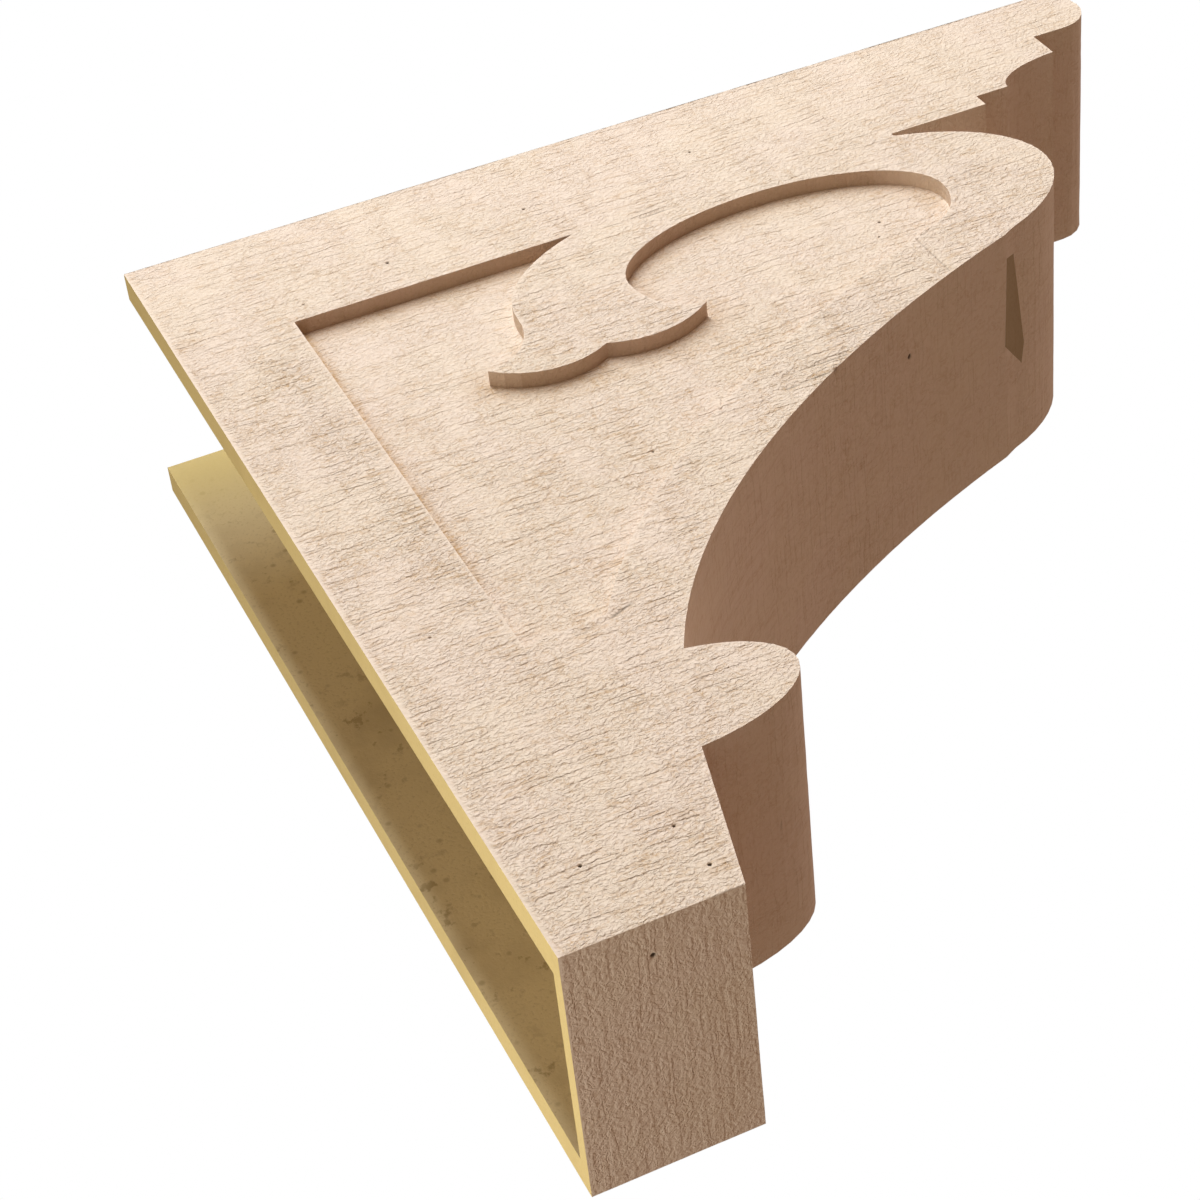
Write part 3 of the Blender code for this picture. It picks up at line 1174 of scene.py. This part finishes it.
@dataclass
class Studio:
    """The camera, the lights, the backdrop and the floor.

    Attributes:
        place: Where the camera stands, in metres.
        turn: The camera's turns about X, Y and Z in degrees.
        lens: The focal length on a 36 mm sensor.
        shift: The lens shift across and up, as shares of the frame.
        floor_level: The floor's height, well below the camera.
        floor_tones: The two pale colours that the floor drifts between.
        fill_front: The fill's colour from the front.
        fill_back: The fill's colour from the wall's side.
    """

    place: Triple = (-0.5626, 0.15606, -0.48828)
    turn: Triple = (143.4492, 25.7677, -85.4928)
    lens: float = 89.441
    shift: tuple[float, float] = (-0.08333, -0.025)
    floor_level: float = -0.8
    floor_tones: tuple[Triple, Triple] = ((0.80, 0.80, 0.79), (0.84, 0.84, 0.83))
    fill_front: Triple = (0.212, 0.128, 0.083)
    fill_back: Triple = (0.80, 0.71, 0.54)

    def set_camera(self) -> None:
        """Put up the camera at the photograph's angle."""
        data = bpy.data.cameras.new("camera")
        data.sensor_width = 36.0
        data.lens = self.lens
        data.shift_x, data.shift_y = self.shift
        camera = link(data, "camera")
        camera.location = self.place
        camera.rotation_euler = [math.radians(angle) for angle in self.turn]
        bpy.context.scene.camera = camera

    def set_lights(self) -> None:
        """Put up a tall soft key above each cheek, one lamp in front and a small one low behind."""
        tall, cool = (0.39, 1.62), (0.87, 0.94, 1.0)
        lamps = (
            Lamp("key near", (-1.49, -0.11, 0.96), tall, 32.8, cool),
            Lamp("key far", (1.49, -0.11, 0.96), tall, 32.8, cool),
            Lamp("front rim", (0.0, -1.75, 0.75), (0.5, 0.4), 2.6, (0.98, 0.94, 0.92)),
            Lamp("low back", (0.0, 0.32, -0.06), (0.2, 0.2), 0.68, (1.0, 0.98, 0.95), (0.0, 0.0, -0.03)),
        )
        for lamp in lamps:
            lamp.build()

    def set_world(self) -> None:
        """Make the backdrop white to the camera and a weak warm fill to everything else."""
        world = bpy.data.worlds.new("studio")
        world.use_nodes = True
        bpy.context.scene.world = world
        graph = Graph(world.node_tree)
        nodes = world.node_tree.nodes
        fill = nodes["Background"]
        sky = graph.add("ShaderNodeTexCoord").outputs["Generated"]
        way = graph.add("ShaderNodeSeparateXYZ", None, i0=sky).outputs
        behind = graph.remap(way["Y"], 0.1, 0.95, 0.0, 1.0)
        forward = graph.maths("MULTIPLY_ADD", way["Y"], -0.45, 1.0)
        graph.wire(graph.mix(behind, self.fill_front, self.fill_back), fill.inputs["Color"])
        graph.wire(graph.maths("MULTIPLY_ADD", way["Z"], 0.10, forward), fill.inputs["Strength"])
        white = graph.add("ShaderNodeBackground", None, Color=(1.0, 1.0, 1.0, 1.0), Strength=1.0)
        seen = graph.add("ShaderNodeLightPath").outputs["Is Camera Ray"]
        mixed = graph.add("ShaderNodeMixShader", None, i0=seen, i1=fill.outputs[0], i2=white.outputs[0])
        graph.wire(mixed.outputs[0], nodes["World Output"].inputs["Surface"])
        bpy.context.scene.view_settings.view_transform = "Standard"

    def lay_floor(self) -> None:
        """Lay the plain pale floor."""
        shape = bmesh.new()
        bmesh.ops.create_grid(shape, x_segments=8, y_segments=8, size=6.0)
        bmesh.ops.translate(shape, verts=shape.verts, vec=(0.0, 0.0, self.floor_level))
        mesh = bpy.data.meshes.new("floor")
        shape.to_mesh(mesh)
        shape.free()
        floor = link(mesh, "floor")
        material, graph, shader = new_material("pale floor")
        cloud = graph.add("ShaderNodeTexNoise", None, Scale=3.0, Detail=2.0).outputs["Fac"]
        graph.wire(graph.mix(cloud, *self.floor_tones), shader.inputs["Emission Color"])
        shader.inputs["Base Color"].default_value = (0.05, 0.05, 0.05, 1.0)
        shader.inputs["Emission Strength"].default_value = 1.0
        shader.inputs["Roughness"].default_value = 0.9
        floor.data.materials.append(material)
        floor.visible_diffuse = False
        floor.visible_shadow = False

    def build(self) -> None:
        """Set everything up."""
        self.set_camera()
        self.set_lights()
        self.set_world()
        self.lay_floor()


def main() -> None:
    """Build the corbel and the studio round it."""
    logging.basicConfig(level=logging.INFO, format="%(name)s: %(message)s")
    low, high = CAD_BOX
    Studio().build()
    corbel = Shell(Layout(low, high)).build()
    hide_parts(SHELL_NODE)
    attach(corbel, "root")


if __name__ == "__main__":
    main()
